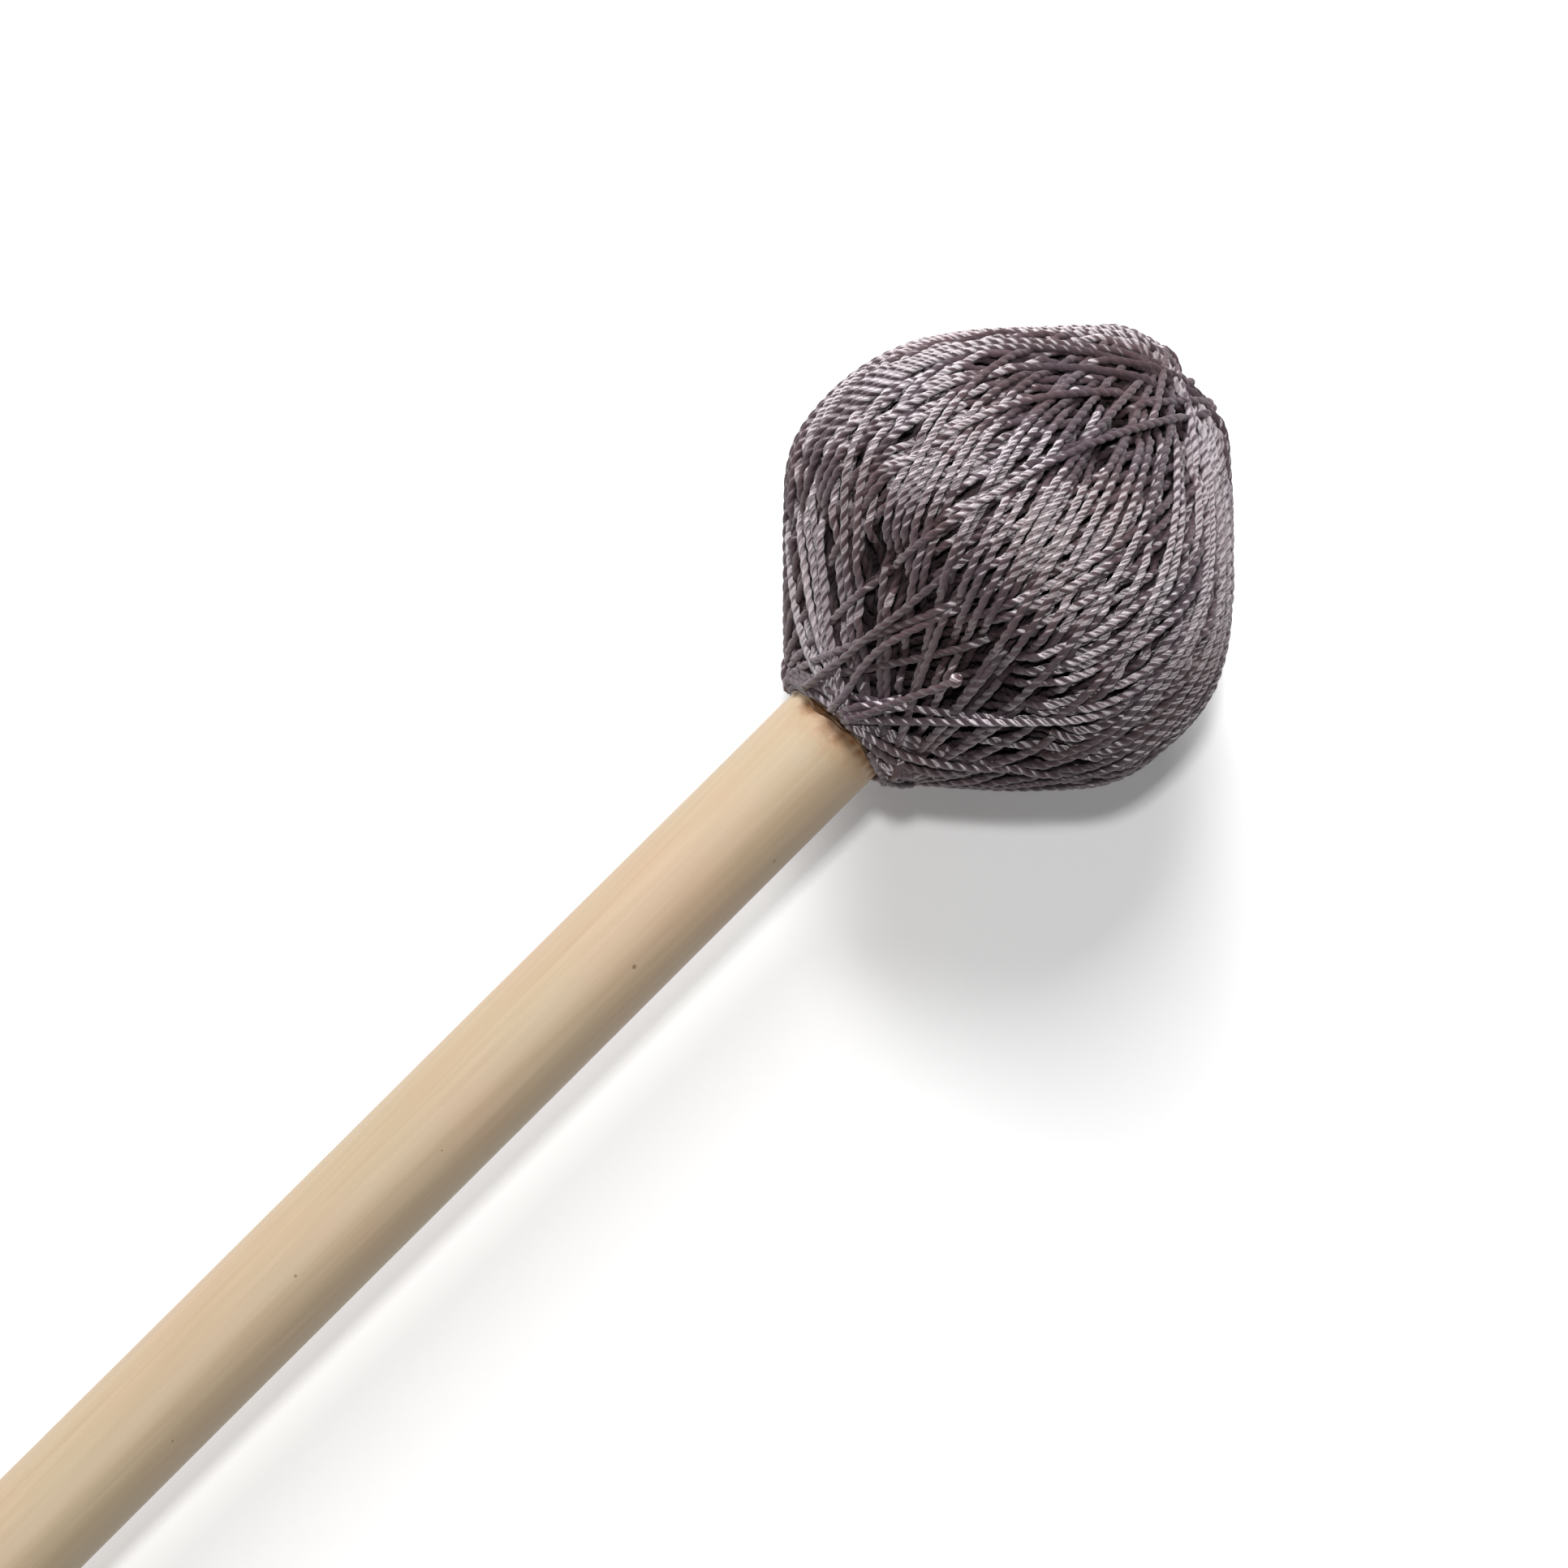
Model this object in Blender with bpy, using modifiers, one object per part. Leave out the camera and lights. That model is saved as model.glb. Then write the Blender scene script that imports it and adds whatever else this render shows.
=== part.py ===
"""Cord-wound vibraphone mallet, built as it is made: a rattan shaft, a moulded rubber
core glued on its end, a soft under-winding, a cord cover, two rings of lock stitches,
the stitching thread's cut tail, and a bead of glue at the neck.

The mallet lies as it rests on a table: on the belly of its head and on the lower edge of
its butt. +X runs from butt to head along the table, +Z is up, and the origin is on the
table under the middle of the object's box. Metres.
"""

import math

import bmesh
import bpy
from mathutils import Matrix, Vector

# ---------------------------------------------------------------- driving dimensions
LENGTH = 0.4000  # butt face to crown
SHAFT_R = 0.0040  # rattan, 8 mm
BUTT_ROUND = 0.0012  # radius on the butt's edge
TENON_R = 0.0035  # end turned down to enter the core
TENON_LENGTH = 0.0200
SHOULDER = 0.0022  # taper from shaft to tenon
HEAD_LENGTH = 0.0342  # neck to crown
BELLY_R = 0.01678  # head, 33.6 mm across
NECK_Z = LENGTH - HEAD_LENGTH  # where the cord cover meets the shaft

CORE_R = 0.0116
CORE_BOTTOM = NECK_Z + 0.0052
CORE_TOP = NECK_Z + 0.0282
CORE_SQUARE = 2.6  # superellipse power of the core's outline
BORE_R = 0.0042
GLUE_INNER_R, GLUE_OUTER_R = 0.0037, 0.0040
UNDER_GAP = 0.0002  # clearance between touching layers
COVER_THICKNESS = 0.0014  # two to three lays of cord

CORD_R = 0.00028  # 0.56 mm cord
NECK_STITCH_R = 0.00482
NECK_STITCHES = 11
CROWN_STITCH_R = 0.0021
CROWN_STITCHES = 7
SEGMENTS = 48

# The head's outline above the neck: (height over the neck, radius), in millimetres.
HEAD_OUTLINE = (
    (0.30, 4.90),
    (1.70, 6.50),
    (5.40, 10.60),
    (8.60, 13.70),
    (10.90, 15.55),
    (13.40, 16.52),
    (16.50, 16.78),
    (19.60, 16.40),
    (22.30, 15.30),
    (24.40, 13.95),
    (26.60, 12.15),
    (30.20, 8.60),
    (32.70, 5.60),
    (33.85, 3.90),
    (34.20, 2.85),
)

MM = 0.001


# ---------------------------------------------------------------- scene and materials
for old in list(bpy.data.objects):
    bpy.data.objects.remove(old, do_unlink=True)

parts = bpy.data.collections.new("vibraphone_mallet")
bpy.context.scene.collection.children.link(parts)


def material(name, colour, roughness, metallic=0.0):
    m = bpy.data.materials.new(name)
    m.use_nodes = True
    shader = m.node_tree.nodes["Principled BSDF"]
    shader.inputs["Base Color"].default_value = (*colour, 1.0)
    shader.inputs["Roughness"].default_value = roughness
    shader.inputs["Metallic"].default_value = metallic
    m.diffuse_color = (*colour, 1.0)
    return m


RATTAN = material("rattan", (0.72, 0.56, 0.38), 0.45)
RUBBER = material("moulded_rubber", (0.045, 0.045, 0.05), 0.75)
GLUE = material("cured_glue", (0.42, 0.20, 0.07), 0.25)
UNDER = material("under_winding_yarn", (0.30, 0.27, 0.29), 0.85)
CORD = material("cover_cord", (0.27, 0.235, 0.26), 0.5)
THREAD = material("stitching_thread", (0.29, 0.25, 0.275), 0.5)


# ---------------------------------------------------------------- helpers
def along_curve(points, count):
    """Points on a smooth curve through the given ones, evenly spaced along it (Catmull-Rom)."""
    pts = [Vector(p) for p in points]
    pts = [pts[0] * 2 - pts[1]] + pts + [pts[-1] * 2 - pts[-2]]
    fine = []
    for i in range(1, len(pts) - 2):
        a, b, c, d = pts[i - 1], pts[i], pts[i + 1], pts[i + 2]
        for k in range(24):
            t = k / 24
            fine.append(
                0.5
                * (
                    2 * b
                    + (c - a) * t
                    + (2 * a - 5 * b + 4 * c - d) * t * t
                    + (3 * b - a - 3 * c + d) * t * t * t
                )
            )
    fine.append(pts[-2])
    run = [0.0]
    for p, q in zip(fine, fine[1:]):
        run.append(run[-1] + (q - p).length)
    out, i = [], 0
    for k in range(count):
        want = run[-1] * k / (count - 1)
        while i < len(run) - 2 and run[i + 1] < want:
            i += 1
        part = (want - run[i]) / max(run[i + 1] - run[i], 1e-12)
        out.append(fine[i].lerp(fine[i + 1], min(max(part, 0.0), 1.0)))
    return out


def inset(profile, distance):
    """A profile of (radius, z) moved towards the mallet's inside by a distance."""
    out = []
    for i, (r, z) in enumerate(profile):
        r0, z0 = profile[max(i - 1, 0)]
        r1, z1 = profile[min(i + 1, len(profile) - 1)]
        dr, dz = r1 - r0, z1 - z0
        size = math.hypot(dr, dz)
        # The profile runs down the outer side, so the inward normal is (dz, -dr).
        out.append((r + dz / size * distance, z - dr / size * distance))
    return out


def turned(name, profile, look, closed=False):
    """A turned piece: its (radius, z) profile swept round the mallet's axis by a Screw."""
    mesh = bpy.data.meshes.new(name)
    bm = bmesh.new()
    verts = [bm.verts.new((r, 0.0, z)) for r, z in profile]
    for a, b in zip(verts, verts[1:] + (verts[:1] if closed else [])):
        bm.edges.new((a, b))
    bm.to_mesh(mesh)
    bm.free()
    obj = bpy.data.objects.new(name, mesh)
    parts.objects.link(obj)
    screw = obj.modifiers.new("turn", "SCREW")
    screw.axis = "Z"
    screw.steps = screw.render_steps = SEGMENTS
    screw.use_merge_vertices = True
    screw.merge_threshold = 0.00001
    screw.use_smooth_shade = True
    mesh.materials.append(look)
    obj.parent = mallet_axis
    return obj


def cord(name, points, radius, look, cyclic=False):
    """A cord: a curve object with a round section, with filled caps where it has ends."""
    data = bpy.data.curves.new(name, "CURVE")
    data.dimensions = "3D"
    data.bevel_depth = radius
    data.bevel_resolution = 2
    data.use_fill_caps = not cyclic
    spline = data.splines.new("POLY")
    spline.points.add(len(points) - 1)
    for target, p in zip(spline.points, points):
        target.co = (*p, 1.0)
    spline.use_cyclic_u = cyclic
    data.materials.append(look)
    obj = bpy.data.objects.new(name, data)
    parts.objects.link(obj)
    obj.parent = mallet_axis
    return obj


# ---------------------------------------------------------------- profiles
# Every profile runs down the outer side, crown to butt, as (radius, z) on the mallet's axis.
def shaft_profile():
    tip = CORE_BOTTOM + TENON_LENGTH - 0.0016
    top = [(0.0, tip), (TENON_R - 0.0005, tip), (TENON_R, tip - 0.0005)]
    neck = NECK_Z + 0.0010
    top += [(TENON_R, neck + SHOULDER), (SHAFT_R, neck)]
    side = [(SHAFT_R, neck - (neck - 0.004) * k / 6) for k in range(1, 7)]
    butt = [
        (
            SHAFT_R - BUTT_ROUND * (1 - math.cos(math.radians(a))),
            BUTT_ROUND * (1 - math.sin(math.radians(a))),
        )
        for a in (0, 15, 30, 45, 60, 75, 90)
    ]
    return top + side + butt + [(0.0, 0.0)]


def core_outline(count=26):
    """The core's outer side: a superellipse from its top to its bottom."""
    middle, half = (CORE_TOP + CORE_BOTTOM) / 2, (CORE_TOP - CORE_BOTTOM) / 2
    out = []
    for k in range(count):
        a = math.pi * k / (count - 1)
        power = 2 / CORE_SQUARE
        r = CORE_R * max(math.sin(a), 0.0) ** power
        z = middle + half * math.copysign(abs(math.cos(a)) ** power, math.cos(a))
        out.append((r, z))
    return out


def head_outline(count=34):
    """The cord cover's outer side, crown to neck."""
    points = [(r * MM, 0.0, NECK_Z + h * MM) for h, r in reversed(HEAD_OUTLINE)]
    return [(p.x, p.z) for p in along_curve(points, count)]


CORE_OUTLINE = core_outline()
HEAD = head_outline()


def crown_dimple(top_r, top_z, depth, count=5):
    """The shallow dimple in the crown, from the axis out to the cover's crest."""
    return [
        (
            top_r * k / count,
            top_z - depth * (0.5 + 0.5 * math.cos(math.pi * k / count)),
        )
        for k in range(count)
    ]


def core_profile():
    outside = [p for p in CORE_OUTLINE if p[0] > BORE_R + 0.0006 or p[1] > CORE_BOTTOM + 0.01]
    outside[0] = (0.0, CORE_TOP)
    bore_top = CORE_BOTTOM + TENON_LENGTH - 0.0010
    mouth = [(BORE_R + 0.0004, CORE_BOTTOM), (BORE_R, CORE_BOTTOM + 0.0004)]
    return outside + mouth + [(BORE_R, bore_top), (0.0, bore_top)]


def under_winding_profile():
    """Fills the space between the core and the cord cover, down to the shaft."""
    outer = inset(HEAD, COVER_THICKNESS)
    outer = [p for p in outer if p[0] > 0.0029 and p[1] > NECK_Z + 0.0024]
    top_z = outer[0][1]
    inner = [
        (r, z)
        for r, z in inset(CORE_OUTLINE[1:-1], -UNDER_GAP)
        if r > BORE_R + 0.0009 or z > CORE_BOTTOM + 0.01
    ]
    neck_r = SHAFT_R + 0.0003
    return (
        [(0.0, top_z)]
        + outer
        + [(neck_r + 0.0006, NECK_Z + 0.0023), (neck_r, NECK_Z + 0.0023)]
        + [(neck_r, CORE_BOTTOM - 2 * UNDER_GAP)]
        + list(reversed(inner))
        + [(0.0, CORE_TOP + UNDER_GAP)]
    )


def cover_profile():
    """The cord cover: a shell of cord, dimpled at the crown, open round the shaft."""
    gap = COVER_THICKNESS - UNDER_GAP
    inner = [
        p for p in inset(HEAD, gap) if p[0] > 0.0029 and p[1] > NECK_Z + 0.0020
    ]
    crest_r, crest_z = HEAD[0]
    neck_r = SHAFT_R + 0.0003
    outer = crown_dimple(crest_r, crest_z, 0.00075) + HEAD
    return (
        outer
        + [(neck_r, NECK_Z + 0.0003), (neck_r, NECK_Z + 0.0020)]
        + list(reversed(inner))
        + [(0.0, inner[0][1])]
    )


def bond_profile():
    """The cured adhesive between the tenon and the core's bore: a thin sleeve."""
    top, bottom = CORE_BOTTOM + TENON_LENGTH - 0.0024, CORE_BOTTOM + 0.0006
    return [
        (GLUE_OUTER_R, top),
        (GLUE_OUTER_R, bottom),
        (GLUE_INNER_R, bottom),
        (GLUE_INNER_R, top),
    ]


def fillet_profile():
    """The bead of glue in the corner between the shaft and the neck stitches."""
    r = SHAFT_R + 0.00015
    top = NECK_Z - 0.00068
    return [
        (r + 0.00062, top),
        (r + 0.00050, top - 0.00016),
        (r + 0.00028, top - 0.00032),
        (r + 0.00012, top - 0.00062),
        (r, top - 0.00074),
        (r, top),
    ]


# ---------------------------------------------------------------- how it lies on the table
def resting_pose():
    """The tilt of the axis, and its height at the butt, when shaft and belly touch z = 0."""
    outline = shaft_profile() + HEAD
    butt = [p for p in outline if p[1] < 0.01 and p[0] > 0.001]
    belly = [p for p in outline if p[1] > NECK_Z and p[0] > 0.012]
    best = None
    for r0, z0 in butt:
        slope = max((r1 - r0) / (z1 - z0) for r1, z1 in belly)
        over = max(r - (r0 + slope * (z - z0)) for r, z in butt)
        if best is None or over < best[0]:
            best = (over, slope, r0, z0)
    _, slope, r0, z0 = best
    tilt = math.atan(slope)
    height = r0 * math.cos(tilt) - z0 * math.sin(tilt)
    return tilt, height


TILT, BUTT_HEIGHT = resting_pose()
# The crown and the butt are the object's two ends along X, so its box is centred between them.
turn = Matrix.Rotation(math.pi / 2 - TILT, 4, "Y")
ends = [
    (turn @ Vector((side * r, 0.0, z))).x
    for r, z in shaft_profile() + HEAD
    for side in (-1, 1)
]
mallet_axis = bpy.data.objects.new("mallet_axis", None)
parts.objects.link(mallet_axis)
mallet_axis.rotation_euler = (0.0, math.pi / 2 - TILT, 0.0)
mallet_axis.location = (-(min(ends) + max(ends)) / 2, 0.0, BUTT_HEIGHT)

# ---------------------------------------------------------------- the turned pieces
turned("rattan_shaft", shaft_profile(), RATTAN)
turned("rubber_core", core_profile(), RUBBER)
turned("core_bond", bond_profile(), GLUE, closed=True)
turned("under_winding", under_winding_profile(), UNDER)
turned("cord_cover", cover_profile(), CORD)
turned("neck_glue_bead", fillet_profile(), GLUE, closed=True)


# ---------------------------------------------------------------- the stitching thread
def ring_of_stitches(radius, z, stitches, rise, swing, per_stitch=10):
    """A closed running stitch round the axis: it rises and swings out once a stitch."""
    points = []
    for k in range(stitches * per_stitch):
        a = 2 * math.pi * k / (stitches * per_stitch)
        wave = math.cos(a * stitches)
        r = radius + swing * wave
        points.append((r * math.cos(a), r * math.sin(a), z + rise * wave))
    return points


cord(
    "neck_stitches",
    ring_of_stitches(NECK_STITCH_R, NECK_Z - 0.00018, NECK_STITCHES, 0.00010, 0.00012),
    CORD_R,
    THREAD,
    cyclic=True,
)
cord(
    "crown_stitches",
    ring_of_stitches(
        CROWN_STITCH_R, HEAD[0][1] + 0.00036, CROWN_STITCHES, 0.00012, 0.00032
    ),
    CORD_R,
    THREAD,
    cyclic=True,
)


def on_cover(height, degrees, lift):
    """A point over the cover's outer side: height over the neck, angle from straight up."""
    below = min(HEAD, key=lambda p: abs(p[1] - NECK_Z - height))
    i = HEAD.index(below)
    (r0, z0), (r1, z1) = HEAD[max(i - 1, 0)], HEAD[min(i + 1, len(HEAD) - 1)]
    t = (NECK_Z + height - z1) / (z0 - z1)
    r, z = r1 + (r0 - r1) * t, NECK_Z + height
    size = math.hypot(r0 - r1, z0 - z1)
    r, z = r + (z0 - z1) / size * lift, z - (r0 - r1) / size * lift
    a = math.radians(degrees)
    return (-r * math.cos(a), -r * math.sin(a), z)


# The cut tail of the thread lies over the cover, from the neck up to its sealed tip.
route = [
    on_cover((1.9 + 6.7 * k / 6) * MM, 1.0 + 11.5 * (k / 6) ** 1.2, CORD_R + 0.0003)
    for k in range(7)
]
cord("thread_tail", along_curve(route, 12), CORD_R, THREAD)
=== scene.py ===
"""The looks of a cord-wound vibraphone mallet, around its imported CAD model.

The head's cord is laid strand by strand over the head's outline, from the last strand
inwards, so that each one passes under those laid after it. Lengths inside the winding are
in millimetres; everything handed to Blender is in metres, in the CAD model's frame.
"""

import math

import bpy
import numpy as np
from mathutils import Matrix, Vector

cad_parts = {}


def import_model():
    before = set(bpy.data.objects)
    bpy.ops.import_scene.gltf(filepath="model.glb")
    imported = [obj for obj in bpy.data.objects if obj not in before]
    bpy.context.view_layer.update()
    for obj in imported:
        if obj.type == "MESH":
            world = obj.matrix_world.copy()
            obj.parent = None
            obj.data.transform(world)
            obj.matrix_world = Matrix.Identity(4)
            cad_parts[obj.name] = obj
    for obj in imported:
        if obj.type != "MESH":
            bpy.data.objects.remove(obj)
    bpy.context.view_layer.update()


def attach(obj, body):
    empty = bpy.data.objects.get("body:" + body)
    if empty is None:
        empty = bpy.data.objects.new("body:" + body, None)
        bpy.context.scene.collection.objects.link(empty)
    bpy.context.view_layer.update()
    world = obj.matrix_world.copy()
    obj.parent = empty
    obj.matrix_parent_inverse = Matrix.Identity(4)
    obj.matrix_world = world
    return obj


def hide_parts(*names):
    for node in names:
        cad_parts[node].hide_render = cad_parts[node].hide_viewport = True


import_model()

# ---------------------------------------------------------------- the CAD model's numbers
NECK = 365.8  # mm from the butt to where the cord cover meets the shaft
TILT = 0.03358015669  # the axis rises this much towards the head
BUTT = (-0.199888, 0.0, 0.003957)  # middle of the butt's face
SHAFT_R = 4.0
CORD_R = 0.28
THICK = 1.06  # a loose cord swells between its crossings

# The head's outline: (height over the neck, radius), from the neck to the crown's middle.
OUTLINE = (
    (0.30, 4.90),
    (1.70, 6.50),
    (5.40, 10.60),
    (8.60, 13.70),
    (10.90, 15.55),
    (13.40, 16.52),
    (16.50, 16.78),
    (19.60, 16.40),
    (22.30, 15.30),
    (24.40, 13.95),
    (26.60, 12.15),
    (30.20, 8.60),
    (32.70, 5.60),
    (33.85, 3.90),
    (34.20, 2.85),
    (34.32, 1.90),
    (34.36, 0.95),
    (34.38, 0.00),
)

MM = 0.001
TO_WORLD = Matrix.Translation(BUTT) @ Matrix.Rotation(math.pi / 2 - TILT, 4, "Y")
TURN = np.array(TO_WORLD.to_3x3())
PLACE = np.array(TO_WORLD.translation)


def world(points):
    """Points of the mallet's own axis frame (mm from the butt) as world points in metres."""
    return np.asarray(points, float) * MM @ TURN.T + PLACE


# ---------------------------------------------------------------- the camera
DISTANCE = 370.0  # mm
PIXELS_PER_MM = 18.06  # at the head, in the 1932-pixel frame
FRAME = 1932.0
LEAN = math.radians(9.0)  # the camera stands this far towards the butt
ROLL = math.radians(44.85)  # the axis runs up to the right in the picture
LEFT = 1.0  # sign of the mallet's own Y that lies to the shaft's upper left in the picture
AIM = NECK - 4.95  # the point of the axis in the middle of the picture


def set_camera():
    axis = Vector(TURN[:, 2])
    side = Vector((0.0, 1.0, 0.0))
    up = axis.cross(side) * -1
    if up.z < 0:
        up = -up
    back = (up * math.cos(LEAN) - axis * math.sin(LEAN)).normalized()
    along = (axis * math.cos(LEAN) + up * math.sin(LEAN)).normalized()
    across = back.cross(along).normalized()
    right = along * math.cos(ROLL) - across * math.sin(ROLL)
    top = along * math.sin(ROLL) + across * math.cos(ROLL)
    aim = Vector(world([0.0, 0.0, AIM]))
    place = aim + back * DISTANCE * MM
    m = Matrix((right, top, back)).transposed().to_4x4()
    m.translation = place
    data = bpy.data.cameras.new("camera")
    data.sensor_width = 36.0
    data.lens = 36.0 * PIXELS_PER_MM * DISTANCE / FRAME
    data.clip_start, data.clip_end = 0.01, 10.0
    cam = bpy.data.objects.new("camera", data)
    bpy.context.scene.collection.objects.link(cam)
    cam.matrix_world = m
    bpy.context.scene.camera = cam
    return right, top, back, aim


RIGHT, TOP, BACK, AIMED = set_camera()


# ---------------------------------------------------------------- the winding
def smooth_line(points, step):
    """Points a step apart on a smooth curve through the given ones."""
    p = np.array(points, float)
    p = np.vstack([2 * p[0] - p[1], p, 2 * p[-1] - p[-2]])
    t = np.linspace(0, 1, 40, endpoint=False)[:, None]
    out = []
    for a, b, c, d in zip(p[:-3], p[1:-2], p[2:-1], p[3:]):
        out.append(
            0.5
            * (
                2 * b
                + (c - a) * t
                + (2 * a - 5 * b + 4 * c - d) * t**2
                + (3 * b - a - 3 * c + d) * t**3
            )
        )
    out.append(p[-2][None])
    q = np.vstack(out)
    run = np.concatenate([[0], np.cumsum(np.hypot(*np.diff(q, axis=0).T))])
    at = np.linspace(0, run[-1], int(round(run[-1] / step)) + 1)
    return np.column_stack([np.interp(at, run, q[:, k]) for k in range(q.shape[1])])


def averaged(values, width, reflect=True):
    """A Hanning average over an odd width."""
    k = np.hanning(width + 2)[1:-1]
    k /= k.sum()
    n = width // 2
    if reflect:
        ends = 2 * values[0] - values[n:0:-1], 2 * values[-1] - values[-2 : -n - 2 : -1]
    else:
        ends = np.full(n, values[0]), np.full(n, values[-1])
    return np.convolve(np.concatenate([ends[0], values, ends[1]]), k, "valid")


class Head:
    """The head's outer surface: height and radius along s, from the neck over the crown."""

    def __init__(self):
        q = smooth_line(OUTLINE, 0.05)
        h, r = averaged(q[:, 0], 41), np.maximum(averaged(q[:, 1], 41), 0)
        run = np.concatenate([[0], np.cumsum(np.hypot(np.diff(h), np.diff(r)))])
        self.length = run[-1]
        self.s = np.linspace(0, self.length, int(self.length / 0.05) + 1)
        self.h, self.r = np.interp(self.s, run, h), np.interp(self.s, run, r)
        dr, dh = np.gradient(self.r, self.s), np.gradient(self.h, self.s)
        size = np.hypot(dr, dh)
        self.dr, self.dh = dr / size, dh / size
        self.widest = int(np.argmax(self.r))

    def at(self, name, s):
        return np.interp(s, self.s, getattr(self, name))


HEAD = Head()


def loop_paths(c_neck, c_crown, step=0.2, length=120.0):
    """Loops that leave the neck, pass the crown and come back: s, azimuth and heading.

    A taut cord keeps its radius times the sine of its heading; over the belly friction
    lets that value change from the neck's to the crown's.
    """
    s = np.interp(c_neck, HEAD.r[: HEAD.widest], HEAD.s[: HEAD.widest])
    a, heading = np.zeros(len(s)), np.full(len(s), math.pi / 2 - 0.02)
    low, high = 11.0, 31.0

    def rate(s, heading):
        r = np.maximum(HEAD.at("r", s), 0.25)
        x = (s - low) / (high - low)
        dx = np.where((x > 0) & (x < 1), 6 * x * (1 - x) / (high - low), 0)
        turn = -HEAD.at("dr", s) / r * np.sin(heading) + (c_crown - c_neck) * dx / r
        return np.cos(heading), np.sin(heading) / r, turn

    rows = [(s, a, heading)]
    for _ in range(int(length / step)):
        half = rate(s, heading)
        mid = rate(s + half[0] * step / 2, heading + half[2] * step / 2)
        s, a, heading = s + mid[0] * step, a + mid[1] * step, heading + mid[2] * step
        rows.append((s, a, heading))
    return np.array(rows).transpose(1, 2, 0)


def squash(s):
    """How much of its height a cord keeps where it crosses others: little where all turn."""
    return 0.10 + 0.44 * np.interp(s, (2, 5, 9, 14, 31, 37, 41, 44.5), (0, 0.35, 0.65, 1, 1, 0.55, 0.35, 0.05))


class Space:
    """The room left under the cords that are already laid, as a map over the head."""

    def __init__(self, rows=472, columns=1100):
        self.rows, self.columns = rows, columns
        self.step = HEAD.length / (rows - 1)
        self.ceiling = np.zeros((rows, columns), np.float32).ravel()
        self.taken = np.zeros(rows * columns, bool)

    def cells(self, s, a, heading, across):
        r = np.maximum(HEAD.at("r", s), 0.3)
        ss = s[:, None] - np.sin(heading)[:, None] * across
        aa = a[:, None] + np.cos(heading)[:, None] * across / r[:, None]
        i = np.clip(np.rint(ss / self.step).astype(int), 0, self.rows - 1)
        j = np.rint(aa / (2 * math.pi) * self.columns).astype(int) % self.columns
        return i * self.columns + j

    def room(self, s, a, heading):
        """How high the middle of a cord can lie at each point, under what is there."""
        u = np.linspace(-CORD_R, CORD_R, 9) * 0.93
        half = squash(s)[:, None] * np.sqrt(CORD_R**2 - u * u)
        z = self.ceiling[self.cells(s, a, heading, u)] - half
        return np.minimum(z.min(1), -CORD_R)

    def open_share(self, s, a, heading):
        """How much of a cord's width would show at a place."""
        u = np.linspace(-CORD_R, CORD_R, 7) * 0.95
        return 1 - self.taken[self.cells(s, a, heading, u)].mean()

    def fill(self, s, a, heading, z):
        """Takes a cord's room, and returns how much of it was in the open at each point."""
        r = np.maximum(HEAD.at("r", s), 0.3)
        ds, da = np.diff(s), np.diff(a) * (r[1:] + r[:-1]) / 2
        run = np.concatenate([[0], np.cumsum(np.hypot(ds, da))])
        at = np.arange(0, run[-1], 0.07)
        s, a, heading, z = (np.interp(at, run, v) for v in (s, a, heading, z))
        u = np.linspace(-CORD_R, CORD_R, 19) * 0.99
        flat = self.cells(s, a, heading, u)
        low = z[:, None] - squash(s)[:, None] * np.sqrt(CORD_R**2 - u * u)
        free = ~self.taken[flat]
        np.minimum.at(self.ceiling, flat.ravel(), low.ravel().astype(np.float32))
        self.taken[flat.ravel()] = True
        return np.interp(run, at, free.mean(1))

    def lower(self, amount):
        """Lowers the ceiling by an amount for each row, to open the winding there."""
        self.ceiling -= np.repeat(amount, self.columns).astype(np.float32)

    def lower_near(self, amount, s, a, width):
        """Lowers the ceiling beside a cord's climb or descent, so that the next lies deeper."""
        rows = np.flatnonzero(amount > 0)
        if s[0] > s[-1]:
            s, a = s[::-1], a[::-1]
        at = np.interp(rows * self.step, s, a)
        columns = np.arange(self.columns) * (2 * math.pi / self.columns)
        away = np.abs((columns[None, :] - at[:, None] + math.pi) % (2 * math.pi) - math.pi)
        share = np.clip(1 - away / width, 0, 1) * amount[rows][:, None]
        self.ceiling.reshape(self.rows, -1)[rows] -= share.astype(np.float32)

    def covered(self, low, high):
        s = np.arange(self.rows) * self.step
        return self.taken.reshape(self.rows, -1)[(s > low) & (s < high)].mean()


def eased(z, step, bend, reach=6.0):
    """A cord's height with no rise or fall sharper than its stiffness allows."""
    out = z.copy()
    for k in range(1, int(reach / step)):
        rise = bend / 2 * (k * step) ** 2
        out[k:] = np.minimum(out[k:], z[:-k] + rise)
        out[:-k] = np.minimum(out[:-k], z[k:] + rise)
    return averaged(out, 5, False)


def step_up(x, low, high):
    x = np.clip((x - low) / (high - low), 0, 1)
    return x * x * (3 - 2 * x)


def floor_under(s):
    """How deep a cord can lie: down to the under-winding, or to the shaft at the neck."""
    room = (HEAD.r - SHAFT_R - 0.06) / np.maximum(HEAD.dh, 0.2)
    deep = 2.2 + 1.0 * step_up(-HEAD.s, -18, -8) + 0.6 * step_up(HEAD.s, 30, 40)
    deep = np.where(HEAD.s < 15, np.minimum(deep, np.maximum(room, 0.05)), deep)
    return -np.interp(s, HEAD.s, deep)


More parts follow.
